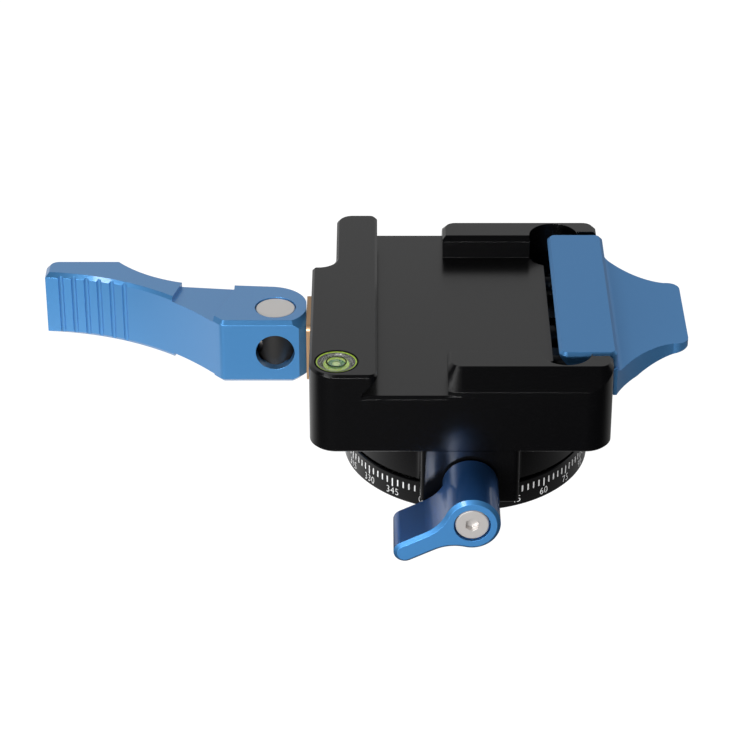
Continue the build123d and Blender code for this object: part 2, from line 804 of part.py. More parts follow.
# Cross pin that the lever turns on, with a flat seat for the screw's head
pin_height = lever_height - 2 * pin_end_room
with BuildPart() as cross_pin:
    with BuildSketch(Plane(origin=(pin_x, 0, draw_z - pin_height / 2))):
        Circle(pin_radius)
    extrude(amount=pin_height)
    pin_ends = cross_pin.edges().filter_by(GeomType.CIRCLE)
    chamfer(pin_ends, pin_edge)
    with BuildSketch(side_plane(head_x, 0, draw_z)):
        Circle(screw_head_radius + screw_room)
    extrude(amount=-pin_radius, mode=Mode.SUBTRACT)
    with BuildSketch(side_plane(head_x, 0, draw_z)):
        Circle(screw_radius + seat_fit)
    extrude(amount=2 * pin_radius, mode=Mode.SUBTRACT)
cross_pin.part.label = "cross_pin"
export_step(cross_pin.part, "parts/cross_pin.step")

# Spring that pushes the moving jaw open
spring_start = pocket_left - spring_seat_depth + spring_wire + seat_fit
spring_length = bar_left - spring_wire - seat_fit - spring_start
with BuildPart() as jaw_spring:
    with BuildLine():
        coil = Helix(
            pitch=spring_length / spring_turns,
            height=spring_length,
            radius=spring_coil_radius,
            center=(spring_start, 0, draw_z),
            direction=(1, 0, 0),
        )
    with BuildSketch(Plane(origin=coil @ 0, z_dir=coil % 0)):
        Circle(spring_wire)
    sweep(is_frenet=True)
jaw_spring.part.label = "jaw_spring"
export_step(jaw_spring.part, "parts/jaw_spring.step")

# Lever: its outline is drawn about the cross pin's axis, handle towards -X
cam_flat = cam_start - cam_gap
cam_rise = travel / radians(lever_swing)


def cam_point(turn):
    """Point of the cam that faces the plate when the lever has turned this far."""
    reach = cam_flat + cam_rise * turn
    return (reach * cos(turn) - cam_rise * sin(turn), reach * sin(turn) + cam_rise * cos(turn))


def front_curve(share):
    """Point of the handle's front outline, from the tip at 0 to the block at 1."""
    ends = (lever_tip, tip_front), tip_pull, block_pull, (block_left, block_meet)
    weights = ((1 - share) ** 3, 3 * share * (1 - share) ** 2, 3 * share**2 * (1 - share), share**3)
    return tuple(sum(w * end[axis] for w, end in zip(weights, ends)) for axis in (0, 1))


def front_point(x):
    """Point of the handle's front outline at this distance along the lever."""
    low, high = 0.0, 1.0
    while high - low > curve_search_end:
        middle = (low + high) / 2
        if front_curve(middle)[0] < x:
            low = middle
        else:
            high = middle
    return front_curve(low)


def lever_plane(height):
    """Plane across the cross pin, at this height from the middle of the lever."""
    return Plane(origin=(pin_x, 0, draw_z + height))


# Cone that turns down the block's front right corner at the top and bottom
with BuildPart() as corner_turning:
    with BuildSketch(Plane(origin=(pin_x, 0, draw_z), x_dir=(1, 0, 0), z_dir=(0, -1, 0))):
        for side in (-1, 1):
            with BuildLine():
                Polyline(
                    (cam_flat, side * lever_height / 2),
                    (cam_flat + block_corner, side * lever_height / 2),
                    (cam_flat + block_corner, side * (lever_height / 2 - block_corner)),
                    close=True,
                )
            make_face()
    revolve(axis=Axis((pin_x, 0, 0), (0, 0, -1)), revolution_arc=90)

corner_y = -sqrt(block_corner**2 - cam_flat**2)
corner_x = sqrt(block_corner**2 - block_front**2)
corner_middle = (atan2(corner_y, cam_flat) + atan2(block_front, corner_x)) / 2
head_sweep = sqrt(screw_head_radius**2 + (pin_flat + screw_head_height) ** 2) + head_room
cam_turns = [radians(lever_swing) * step / cam_steps for step in range(cam_steps + 1)]
with BuildPart() as lever:
    with BuildSketch(lever_plane(-lever_height / 2)):
        with BuildLine():
            cam = Spline([cam_point(turn) for turn in cam_turns])
            Polyline(cam @ 1, (neck_right, waist_back), (neck_left, neck_back))
            ThreePointArc((neck_left, neck_back), (shoulder_mid_x, shoulder_mid_y), (shoulder_left, tip_back))
            FilletPolyline(
                (shoulder_left, tip_back),
                (lever_tip, tip_back),
                (lever_tip, tip_front),
                radius=tip_corner,
            )
            Bezier((lever_tip, tip_front), tip_pull, block_pull, (block_left, block_meet))
            FilletPolyline(
                (block_left, block_meet),
                (block_left + nose_run, block_front),
                (corner_x, block_front),
                radius=nose_corner,
            )
            ThreePointArc(
                (corner_x, block_front),
                (block_corner * cos(corner_middle), block_corner * sin(corner_middle)),
                (cam_flat, corner_y),
            )
            Line((cam_flat, corner_y), cam @ 0)
        make_face()
    extrude(amount=lever_height)
    # Bevel along the front of the top and bottom faces
    front_edges = []
    for face in lever.faces().filter_by(Axis.Z):
        for edge in face.edges():
            middle = edge @ 0.5
            spine_y = (tip_front + tip_back) / 2 * (middle.X - pin_x) / lever_tip
            if middle.Y < spine_y and middle.X < pin_x + corner_x:
                front_edges.append(edge)
    chamfer(front_edges, lever_front_edge)
    # Neck: both faces step down between the handle and the block
    for side in (-1, 1):
        with BuildSketch(lever_plane(side * (lever_height / 2 - neck_depth))):
            with BuildLine():
                Polyline(
                    (neck_left, tip_back),
                    (neck_left, neck_back),
                    (neck_left - neck_slant, neck_front),
                    (neck_left - neck_slant, block_front),
                    (block_left - nose_corner / 2, block_front),
                    (block_left - nose_corner / 2, block_meet),
                    (neck_right, waist_back - nose_corner),
                    (neck_right, tip_back),
                    close=True,
                )
            make_face()
        extrude(amount=side * neck_depth, mode=Mode.SUBTRACT)
    add(corner_turning.part, mode=Mode.SUBTRACT)
    # Grip grooves across the handle's front
    with BuildSketch(lever_plane(-lever_height / 2)):
        for number in range(grip_count):
            groove_x, groove_y = front_point(grip_first + number * grip_pitch)
            with Locations((groove_x, groove_y - grip_radius + grip_depth)):
                Circle(grip_radius)
    extrude(amount=lever_height, mode=Mode.SUBTRACT)
    # Bore of the cross pin, widened inside for the sweep of the screw's head
    with BuildSketch(lever_plane(-lever_height / 2)):
        Circle(pin_radius + running_fit)
    extrude(amount=lever_height, mode=Mode.SUBTRACT)
    with BuildSketch(lever_plane(-screw_head_radius - head_room)):
        Circle(head_sweep)
    extrude(amount=2 * (screw_head_radius + head_room), mode=Mode.SUBTRACT)
    # Slot that lets the lever swing past the screw's shank
    slot_half = screw_radius + slot_room
    with BuildSketch(lever_plane(-slot_half)):
        with BuildLine():
            Polyline(
                (0, -slot_half),
                (2 * block_corner, -slot_half),
                (2 * block_corner, 2 * block_corner),
                (-slot_half, 2 * block_corner),
                (-slot_half, 0),
                close=True,
            )
        make_face()
    extrude(amount=2 * slot_half, mode=Mode.SUBTRACT)
    # Round window over the screw's head when the lever is closed
    with BuildSketch(Plane(origin=(pin_x, 0, draw_z), x_dir=(1, 0, 0), z_dir=(0, -1, 0))):
        Circle(window_radius)
    extrude(amount=-2 * block_front, mode=Mode.SUBTRACT)
lever.part.label = "lever"
export_step(lever.part, "parts/lever.step")
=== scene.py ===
"""Finishes, scale marks, level, return spring and studio for the panning lever clamp.

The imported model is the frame: its pieces keep their shape and place and get a
finish here, and what the frame leaves out, such as the scale's ticks and
digits and the inside of the round level, is modelled in this script. Lengths
are metres, and a size that is easier to read in millimetres is times MM.
"""

import logging
from dataclasses import dataclass
from enum import Enum
from math import cos, pi, radians, sin
from typing import Any

import bpy
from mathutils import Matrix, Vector


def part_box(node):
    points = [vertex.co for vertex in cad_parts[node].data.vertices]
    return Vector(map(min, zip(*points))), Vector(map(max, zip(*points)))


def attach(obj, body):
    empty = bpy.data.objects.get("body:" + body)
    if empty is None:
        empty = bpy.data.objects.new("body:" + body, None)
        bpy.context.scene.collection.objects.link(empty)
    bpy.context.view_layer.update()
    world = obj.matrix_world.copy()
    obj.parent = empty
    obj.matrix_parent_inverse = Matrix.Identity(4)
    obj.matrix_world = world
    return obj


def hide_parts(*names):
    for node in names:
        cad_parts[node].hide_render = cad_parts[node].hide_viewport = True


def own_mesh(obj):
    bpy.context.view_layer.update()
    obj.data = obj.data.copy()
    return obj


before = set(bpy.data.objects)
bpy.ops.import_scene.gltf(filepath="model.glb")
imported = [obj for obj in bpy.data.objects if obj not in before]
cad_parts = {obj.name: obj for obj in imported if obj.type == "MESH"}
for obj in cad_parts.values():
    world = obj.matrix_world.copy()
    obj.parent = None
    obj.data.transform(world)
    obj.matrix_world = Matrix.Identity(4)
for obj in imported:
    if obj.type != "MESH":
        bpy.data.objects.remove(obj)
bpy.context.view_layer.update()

Piece = bpy.types.Object
Tree = bpy.types.NodeTree
Socket = bpy.types.NodeSocket
Point = tuple[float, float, float]

MM = 0.001
WHITE = (1.0, 1.0, 1.0, 1.0)
# Edges that turn less than this, in degrees, are shaded smooth
SHARP_EDGE = 40.0
# The rings of a wave texture repeat at this length divided by its scale
WAVE_RING = 0.1 * pi
log = logging.getLogger("panning_clamp")


def linear(colour: str) -> tuple[float, float, float, float]:
    """Turn an sRGB hex colour to linear, by the curve of the sRGB standard.

    Args:
        colour: Six hex digits after a hash sign.

    Returns:
        The linear red, green and blue, with an alpha of 1.
    """
    shares = [int(colour[i : i + 2], 16) / 255 for i in (1, 3, 5)]
    red, green, blue = (s / 12.92 if s <= 0.04045 else ((s + 0.055) / 1.055) ** 2.4 for s in shares)
    return red, green, blue, 1.0


def add_node(tree: Tree, kind: str, inputs: dict[Any, Any], **settings: Any) -> bpy.types.Node:
    """Add a node with its settings, and give its inputs their values or links.

    Args:
        tree: The material's or world's node tree.
        kind: The node's type name without its ShaderNode start.
        inputs: A value or an output socket for each input, by name or number.
        settings: Attributes of the node.

    Returns:
        The new node.
    """
    node = tree.nodes.new("ShaderNode" + kind)
    for name, value in settings.items():
        setattr(node, name, value)
    for name, value in inputs.items():
        if isinstance(value, bpy.types.NodeSocket):
            tree.links.new(value, node.inputs[name])
        else:
            node.inputs[name].default_value = value
    return node


def pick(*pieces: Piece) -> None:
    """Select these pieces alone, with the first one active, for an operator to act on.

    Args:
        pieces: The pieces.
    """
    bpy.ops.object.select_all(action="DESELECT")
    for piece in pieces:
        piece.select_set(True)
    bpy.context.view_layer.objects.active = pieces[0]


def own_place(piece: Piece) -> None:
    """Put a piece's place, turn and scale into its mesh."""
    pick(piece)
    bpy.ops.object.transform_apply(location=True, rotation=True, scale=True)


def take_added(name: str, scale: Point = (1.0, 1.0, 1.0)) -> Piece:
    """Name and scale the piece that an operator has just added.

    Args:
        name: The piece's name.
        scale: Its stretch along X, Y and Z.

    Returns:
        The piece, with its place and scale in its mesh.
    """
    piece = bpy.context.active_object
    piece.name = name
    piece.scale = scale
    own_place(piece)
    return piece


def apply_modifiers(piece: Piece) -> None:
    """Apply all the modifiers of a piece in their order.

    Args:
        piece: The piece, which ends as a plain mesh.
    """
    pick(piece)
    for modifier in list(piece.modifiers):
        bpy.ops.object.modifier_apply(modifier=modifier.name)


def smooth(piece: Piece) -> None:
    """Shade a piece smooth except across its sharp edges."""
    pick(piece)
    bpy.ops.object.shade_smooth_by_angle(angle=radians(SHARP_EDGE))


def start_edit() -> None:
    """Enter edit mode with all of the active piece selected."""
    bpy.ops.object.mode_set(mode="EDIT")
    bpy.ops.mesh.select_all(action="SELECT")


def raise_faces(height: float) -> None:
    """Extrude the selected faces along Z, in edit mode."""
    bpy.ops.mesh.extrude_region_move(TRANSFORM_OT_translate={"value": (0.0, 0.0, height)})


def end_edit() -> None:
    """Turn all faces outwards and leave edit mode."""
    bpy.ops.mesh.select_all(action="SELECT")
    bpy.ops.mesh.normals_make_consistent(inside=False)
    bpy.ops.object.mode_set(mode="OBJECT")


def join(pieces: list[Piece], name: str) -> Piece:
    """Join pieces into one.

    Args:
        pieces: The mesh objects, the first of which stays.
        name: The joined object's name.

    Returns:
        The joined object.
    """
    pick(*pieces)
    bpy.ops.object.join()
    pieces[0].name = name
    return pieces[0]


def dress(piece: Piece, material: bpy.types.Material) -> None:
    """Give a piece one material all over, and report it.

    Args:
        piece: The piece, packed or modelled here.
        material: The material.
    """
    piece.data.materials.clear()
    piece.data.materials.append(material)
    log.info("%s in %s", piece.name, material.name)


def middle(node: str) -> Vector:
    """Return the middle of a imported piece's box."""
    low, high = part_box(node)
    return (low + high) / 2


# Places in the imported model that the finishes, the level and the scale are set by
LEVEL_AXIS = tuple(middle("level_cup").xy)
LEVEL_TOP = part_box("level_cup")[1].z
PIN_AXIS = tuple(middle("cross_pin").xy)
PIN_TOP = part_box("cross_pin")[1].z
KNOB_AXIS_HEIGHT = middle("lock_stud").z
KNOB_REACH = -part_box("pan_knob")[0].y
RING_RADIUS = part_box("scale_ring")[1].x


class Grain(Enum):
    """How a surface was made, which sets the pattern of its grain."""

    BLASTED = "bead blasted"
    TURNED = "turned"
    GROUND = "ground along X"


@dataclass(frozen=True)
class Finish:
    """A named surface with an sRGB colour, which each kind of finish shades in its own way."""

    name: str
    colour: str

    def shader(self, tree: Tree) -> bpy.types.Node:
        """Return the node that shades the surface, in a material's node tree."""
        raise NotImplementedError

    def material(self) -> bpy.types.Material:
        """Build the material round the finish's shader.

        Returns:
            The material, under the finish's name.
        """
        material = bpy.data.materials.new(self.name)
        material.use_nodes = True
        tree = material.node_tree
        tree.nodes.clear()
        add_node(tree, "OutputMaterial", {"Surface": self.shader(tree).outputs[0]})
        return material


@dataclass(frozen=True)
class Metal(Finish):
    """A bare, plated or anodised metal surface, or a near black painted shade where it isn't metallic at
    all.

    The grain is a fine bump with a matching change of roughness. Its real size
    is under a tenth of a millimetre, and it is drawn coarser so that it shows.
    A turned grain is rings about the centre. A piece with a shaded side colour has its
    main colour only on its faced end, down to face_depth below face_end, both
    measured along face_axis, and its sides are painted darker: painted shade.
    """

    roughness: float
    grain: Grain
    grain_size: float = 0.35 * MM
    grain_depth: float = 0.0015 * MM
    grain_strength: float = 0.6
    grain_detail: float = 3.0
    grain_contrast: float = 0.6
    ground_stretch: float = 0.04
    ring_wobble: float = 1.5
    ring_detail: float = 2.0
    roughness_spread: float = 0.05
    metallic: float = 1.0
    specular: float = 0.5
    coat: float = 0.0
    coat_roughness: float = 0.3
    centre: Point = (0.0, 0.0, 0.0)
    turn: Point = (0.0, 0.0, 0.0)
    edge: float = 0.08 * MM
    edge_samples: int = 6
    side_colour: str = ""
    face_end: float = 0.0
    face_depth: float = 0.0
    face_axis: Point = (0.0, 0.0, 1.0)

    def pattern(self, tree: Tree) -> Socket:
        """Draw the grain.

        Args:
            tree: The material's node tree.

        Returns:
            The socket of the grain's height, from 0 to 1.
        """
        place = add_node(tree, "TexCoord", {}).outputs["Object"]
        if self.grain is Grain.TURNED:
            centring = {"Vector": place, "Location": self.centre, "Rotation": self.turn}
            rings = {
                "Vector": add_node(tree, "Mapping", centring, vector_type="TEXTURE").outputs[0],
                "Scale": WAVE_RING / self.grain_size,
                "Distortion": self.ring_wobble,
                "Detail": self.ring_detail,
            }
            return add_node(tree, "TexWave", rings, wave_type="RINGS", rings_direction="Z").outputs["Fac"]
        along = self.ground_stretch if self.grain is Grain.GROUND else 1.0
        speckle = {
            "Vector": add_node(tree, "Mapping", {"Vector": place, "Scale": (along, 1.0, 1.0)}).outputs[0],
            "Scale": 1.0 / self.grain_size,
            "Detail": self.grain_detail,
            "Roughness": self.grain_contrast,
        }
        return add_node(tree, "TexNoise", speckle).outputs["Fac"]

    def base(self, tree: Tree) -> Any:
        """Colour the metal, with its sides painted darker than its faced end, as painted shade, where a
        shaded side colour is given.

        Args:
            tree: The material's node tree.

        Returns:
            The colour, or the socket of the two colours.
        """
        if not self.side_colour:
            return linear(self.colour)
        place = add_node(tree, "TexCoord", {}).outputs["Object"]
        reach = add_node(tree, "VectorMath", {0: place, 1: self.face_axis}, operation="DOT_PRODUCT")
        face_start = self.face_end - self.face_depth
        faced = add_node(tree, "Math", {0: reach.outputs["Value"], 1: face_start}, operation="GREATER_THAN")
        colours = {"Color1": linear(self.side_colour), "Color2": linear(self.colour)}
        return add_node(tree, "MixRGB", {"Fac": faced.outputs[0], **colours}).outputs[0]

    def shader(self, tree: Tree) -> bpy.types.Node:
        """Shade the metal, with the grain in its bump and roughness.

        Args:
            tree: The material's node tree.

        Returns:
            The shader node.
        """
        height = self.pattern(tree)
        soft_edge = add_node(tree, "Bevel", {"Radius": self.edge}, samples=self.edge_samples).outputs[0]
        relief = {"Height": height, "Strength": self.grain_strength, "Distance": self.grain_depth}
        bump = add_node(tree, "Bump", {**relief, "Normal": soft_edge})
        spread = self.roughness_spread
        span = {"Value": height, "To Min": self.roughness - spread, "To Max": self.roughness + spread}
        surface = {
            "Base Color": self.base(tree),
            "Metallic": self.metallic,
            "Roughness": add_node(tree, "MapRange", span).outputs[0],
            "Specular IOR Level": self.specular,
            "Coat Weight": self.coat,
            "Coat Roughness": self.coat_roughness,
            "Normal": bump.outputs[0],
        }
        return add_node(tree, "BsdfPrincipled", surface)


@dataclass(frozen=True)
class Plain(Finish):
    """A paint, plastic or fluid surface with a faint mottle."""

    roughness: float
    mottle: float = 0.03
    mottle_size: float = 0.5 * MM
    mottle_detail: float = 2.0
    specular: float = 0.5

    def shader(self, tree: Tree) -> bpy.types.Node:
        """Shade the surface, with the mottle in its roughness.

        Args:
            tree: The material's node tree.

        Returns:
            The shader node.
        """
        place = add_node(tree, "TexCoord", {}).outputs["Object"]
        speckle = {"Vector": place, "Scale": 1.0 / self.mottle_size, "Detail": self.mottle_detail}
        noise = add_node(tree, "TexNoise", speckle).outputs["Fac"]
        low, high = self.roughness - self.mottle, self.roughness + self.mottle
        span = {"Value": noise, "To Min": low, "To Max": high}
        surface = {
            "Base Color": linear(self.colour),
            "Roughness": add_node(tree, "MapRange", span).outputs[0],
            "Specular IOR Level": self.specular,
        }
        return add_node(tree, "BsdfPrincipled", surface)


@dataclass(frozen=True)
class Clear(Finish):
    """A see-through surface, such as cast acrylic."""

    ior: float
    alpha: float
    roughness: float = 0.02

    def shader(self, tree: Tree) -> bpy.types.Node:
        """Shade the surface so that it lets the light through.

        Args:
            tree: The material's node tree.

        Returns:
            The shader node.
        """
        surface = {
            "Base Color": linear(self.colour),
            "Roughness": self.roughness,
            "IOR": self.ior,
            "Transmission Weight": 1.0,
            "Alpha": self.alpha,
        }
        return add_node(tree, "BsdfPrincipled", surface)


@dataclass(frozen=True)
class StudioFloor(Finish):
    """A floor that is white to the camera, with a soft shadow, and dark in front to what is glossy."""

    back_glow: float
    front_glow: float = 0.05
    front_y: float = -45 * MM
    back_y: float = 0.0
    left_share: float = 1.2
    right_share: float = 0.4
    turn_x: float = 20 * MM
    white: float = 1.15
    white_share: float = 0.9

    def shader(self, tree: Tree) -> bpy.types.Node:
        """Shade the floor apart for camera, glossy and transmission rays.

        Args:
            tree: The material's node tree.

        Returns:
            The shader node.
        """
        ray = add_node(tree, "LightPath", {}).outputs
        place = add_node(tree, "TexCoord", {}).outputs["Object"]
        along = add_node(tree, "SeparateXYZ", {0: place}).outputs
        to_the_back = {
            "Value": along["Y"], "From Min": self.front_y, "From Max": self.back_y,
            "To Min": self.front_glow, "To Max": self.back_glow,
        }
        to_the_right = {
            "Value": along["X"], "From Min": -self.turn_x, "From Max": self.turn_x,
            "To Min": self.left_share, "To Max": self.right_share,
        }
        glow = add_node(tree, "MapRange", to_the_back, interpolation_type="SMOOTHSTEP").outputs[0]
        share = add_node(tree, "MapRange", to_the_right, interpolation_type="SMOOTHSTEP").outputs[0]
        strength = add_node(tree, "Math", {0: glow, 1: share}, operation="MULTIPLY").outputs[0]
        matt = add_node(tree, "BsdfDiffuse", {"Color": linear(self.colour)}).outputs[0]
        white = add_node(tree, "Emission", {"Color": WHITE, "Strength": self.white}).outputs[0]
        shine = add_node(tree, "Emission", {"Color": WHITE, "Strength": strength}).outputs[0]
        seen = add_node(tree, "Math", {0: ray["Is Camera Ray"], 1: self.white_share}, operation="MULTIPLY")
        camera = add_node(tree, "MixShader", {0: seen.outputs[0], 1: matt, 2: white}).outputs[0]
        glossy = add_node(tree, "MixShader", {0: ray["Is Glossy Ray"], 1: camera, 2: shine}).outputs[0]
        return add_node(tree, "MixShader", {0: ray["Is Transmission Ray"], 1: glossy, 2: white})


# Anodised aluminium, bead blasted before dyeing: a dark satin with a soft sheen
BLACK_ANODISED = Metal("black_anodised_aluminium", "#040405", 0.22, Grain.BLASTED, metallic=0.0)
# The same in blue: the dye tints the metal under a clear oxide skin
BLUE_ANODISED = Metal(
    "blue_anodised_aluminium", "#5599D6", 0.4, Grain.BLASTED, metallic=0.75, coat=1.0, coat_roughness=0.12
)
# The jaw comes a little deeper out of the bath, and has no gloss to its skin
DEEP_BLUE_ANODISED = Metal("deep_blue_anodised_aluminium", "#5492CC", 0.38, Grain.BLASTED, metallic=0.75)
# The knob is blasted coarser. Its faced front keeps the bright blue, and its barrel and wings are painted a
# darker blue: painted shade, where the body above keeps the light off
KNOB_BLUE_ANODISED = Metal(
    "blue_anodised_knob", "#58A2E4", 0.5, Grain.BLASTED, metallic=0.9, coat=1.0, coat_roughness=0.12,
    side_colour="#346FB6", face_end=KNOB_REACH, face_depth=0.72 * MM, face_axis=(0.0, -1.0, 0.0),
)
# Stainless steel faced on a lathe: bright, with fine rings. The pin's shank is painted dark grey: painted
# shade, inside the lever's bore
PIN_STEEL = Metal(
    "turned_stainless_pin", "#E6E3E0", 0.35, Grain.TURNED, grain_size=0.25 * MM, metallic=0.7,
    side_colour="#3C3B3A", face_end=PIN_TOP, face_depth=1.6 * MM, centre=(*PIN_AXIS, 0.0),
)
KNOB_SCREW_STEEL = Metal(
    "turned_stainless_screw", "#CFCBC8", 0.4, Grain.TURNED, grain_size=0.25 * MM, metallic=0.6,
    centre=(0.0, 0.0, KNOB_AXIS_HEIGHT), turn=(pi / 2, 0.0, 0.0),
)
# Steel as it was machined: a clean light grey
PLAIN_STEEL = Metal("plain_steel", "#B9B6B3", 0.3, Grain.BLASTED)
# The same steel painted dark and half dull: painted shade, for the draw screw deep inside the jaw and the
# lever
SCREW_STEEL = Metal("shaded_screw_steel", "#4C4A49", 0.42, Grain.BLASTED)
# Steel with an oxide skin: near black, with a little shine
BLACK_OXIDE = Metal("black_oxide_steel", "#1B1B1D", 0.42, Grain.BLASTED, metallic=0.6)
# Bronze of the wear plate and the brake shoe, ground flat: the warm brown of a sliding alloy
BRONZE = Metal("ground_bronze", "#C9A47E", 0.42, Grain.GROUND, metallic=0.8)
# Low friction sheet, cut and left plain: a milky white with a waxy softness
PTFE = Plain("white_ptfe", "#E6E5E1", 0.45)
# Paint wiped into the cut marks of the scale: white and half matt
MARK_PAINT = Plain("white_fill_paint", "#E9E9E9", 0.5)
# The level's cup and funnel, turned and nickel plated: a soft grey with fine rings
LEVEL_CASE = Metal(
    "satin_nickel_cup", "#8E8C8A", 0.25, Grain.TURNED, grain_size=0.3 * MM, centre=(*LEVEL_AXIS, 0.0)
)
# Dyed fluid with the light all through it: an even lime
LEVEL_FLUID = Plain("lime_level_fluid", "#C8EE50", 0.25)
# The same fluid inside the printed ring, which keeps the light off: a dull green
LEVEL_SHADE = Plain("shaded_level_fluid", "#4C8A4C", 0.25, specular=0.1)
# The skin of the bubble: pale, with a small sharp highlight
BUBBLE_SKIN = Plain("pale_bubble_skin", "#C2DA86", 0.15)
# Screen printed ink: a flat black
RING_PRINT = Plain("black_ring_print", "#050605", 0.35, specular=0.1)
# A near black that hardly mirrors, set in the gap round the level's window: painted shade of that gap
GAP_SHADE = Metal("painted_gap_shade", "#030303", 0.85, Grain.BLASTED, metallic=0.0, specular=0.1)
# Cast and polished acrylic: clear, with a faint mirror of the lamps
ACRYLIC = Clear("clear_cast_acrylic", "#F6FFF0", ior=1.49, alpha=0.25)


def dress_nodes(finish: Finish, *names: str) -> bpy.types.Material:
    """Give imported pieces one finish.

    Args:
        finish: The finish, whose material is built here.
        names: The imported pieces' names.

    Returns:
        The material, for what is modelled beside them.
    """
    material = finish.material()
    for name in names:
        dress(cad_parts[name], material)
    return material


@dataclass
class PanBase:
    """Scale ring with its ticks and digits, and the reducer bush.

    The tick step, the label step and the zero angle are in degrees, and the zero
    angle is where the scale's 0 stands, from +X.
    """

    ring_radius: float = RING_RADIUS
    mark_depth: float = 0.12 * MM
    mark_proud: float = 0.012 * MM
    tick_top: float = 4.7 * MM
    long_tick: float = 1.9 * MM
    short_tick: float = 1.45 * MM
    tick_width: float = 0.3 * MM
    tick_corner: float = 0.06 * MM
    corner_steps: int = 2
    tick_step: int = 3
    label_step: int = 15
    label_height: float = 1.6 * MM
    label_middle: float = 1.66 * MM
    label_squeeze: float = 0.92
    label_spacing: float = 1.08
    label_thinning: float = 0.03 * MM
    # How high the font's digits are, as a share of its size
    digit_share: float = 0.72
    zero_angle: float = -112.35

    def build(self) -> None:
        """Dress the ring and the bush, and model the scale."""
        dress_nodes(BLACK_ANODISED, "scale_ring")
        dress_nodes(PLAIN_STEEL, "reducer_bush")
        paint = MARK_PAINT.material()
        for marks in (self.ticks(), self.labels()):
            dress(marks, paint)
            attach(marks, "base")

    def wrap(self, piece: Piece, angle: float) -> None:
        """Bend a flat piece round the ring.

        Args:
            piece: A mesh drawn in the XY plane with its front towards +Z.
            angle: The angle from +X, in degrees, where its X of 0 comes.
        """
        for vertex in piece.data.vertices:
            turn = radians(angle) + vertex.co.x / self.ring_radius
            reach = self.ring_radius + vertex.co.z
            vertex.co = (reach * cos(turn), reach * sin(turn), vertex.co.y)

    def tick(self, length: float) -> Piece:
        """Model one tick, a filled groove with eased corners, still flat.

        Args:
            length: Its length, downwards from the top of all ticks.

        Returns:
            The tick.
        """
        place = (0.0, self.tick_top - length / 2, -self.mark_depth)
        bpy.ops.mesh.primitive_plane_add(size=1.0, location=place)
        piece = take_added("tick", (self.tick_width, length, 1.0))
        start_edit()
        bpy.ops.mesh.bevel(offset=self.tick_corner, segments=self.corner_steps, affect="VERTICES")
        raise_faces(self.mark_depth + self.mark_proud)
        end_edit()
        return piece

    def ticks(self) -> Piece:
        """Copy the long and the short tick all round the ring.

        Returns:
            The ticks as one mesh.
        """
        long, short = self.tick(self.long_tick), self.tick(self.short_tick)
        copies = []
        for angle in range(0, 360, self.tick_step):
            copy = (short if angle % self.label_step else long).copy()
            copy.data = copy.data.copy()
            bpy.context.scene.collection.objects.link(copy)
            self.wrap(copy, self.zero_angle + angle)
            copies.append(copy)
        bpy.data.objects.remove(long)
        bpy.data.objects.remove(short)
        return join(copies, "scale_ticks")

    def label(self, value: int) -> Piece:
        """Model the digits of one label.

        Args:
            value: The value on the scale, in degrees.

        Returns:
            The digits as one mesh, bent round the ring.
        """
        bpy.ops.object.text_add()
        piece = bpy.context.active_object
        pick(piece)
        text = piece.data
        text.body = str(value)
        text.align_x = "CENTER"
        text.align_y = "CENTER"
        text.size = self.label_height / self.digit_share
        text.extrude = (self.mark_depth + self.mark_proud) / 2
        text.space_character = self.label_spacing
        text.offset = -self.label_thinning
        bpy.ops.object.convert(target="MESH")
        for vertex in piece.data.vertices:
            vertex.co.x *= self.label_squeeze
            vertex.co.y += self.label_middle
            vertex.co.z += (self.mark_proud - self.mark_depth) / 2
        self.wrap(piece, self.zero_angle + value)
        return piece

    def labels(self) -> Piece:
        """Model the labels all round."""
        return join([self.label(value) for value in range(0, 360, self.label_step)], "scale_digits")


class PanHousing:
    """Round housing with its glide ring, slip disc and screws."""

    def build(self) -> None:
        """Dress the housing and what it holds."""
        dress_nodes(BLACK_ANODISED, "pan_housing")
        dress_nodes(BLACK_OXIDE, "housing_screws", "keeper_screws")
        dress_nodes(PTFE, "glide_ring", "slip_disc")


class LockKnob:
    """Wing knob with its screw, stud and brake shoe."""

    def build(self) -> None:
        """Dress the knob's pieces."""
        dress_nodes(KNOB_BLUE_ANODISED, "pan_knob")
        dress_nodes(KNOB_SCREW_STEEL, "knob_screw")
        dress_nodes(PLAIN_STEEL, "lock_stud")
        dress_nodes(BRONZE, "brake_shoe")


class ClampBody:
    """Clamp body with its wear plate."""

    def build(self) -> None:
        """Dress the body and its plate."""
        dress_nodes(BLACK_ANODISED, "clamp_body")
        dress_nodes(BRONZE, "wear_plate")


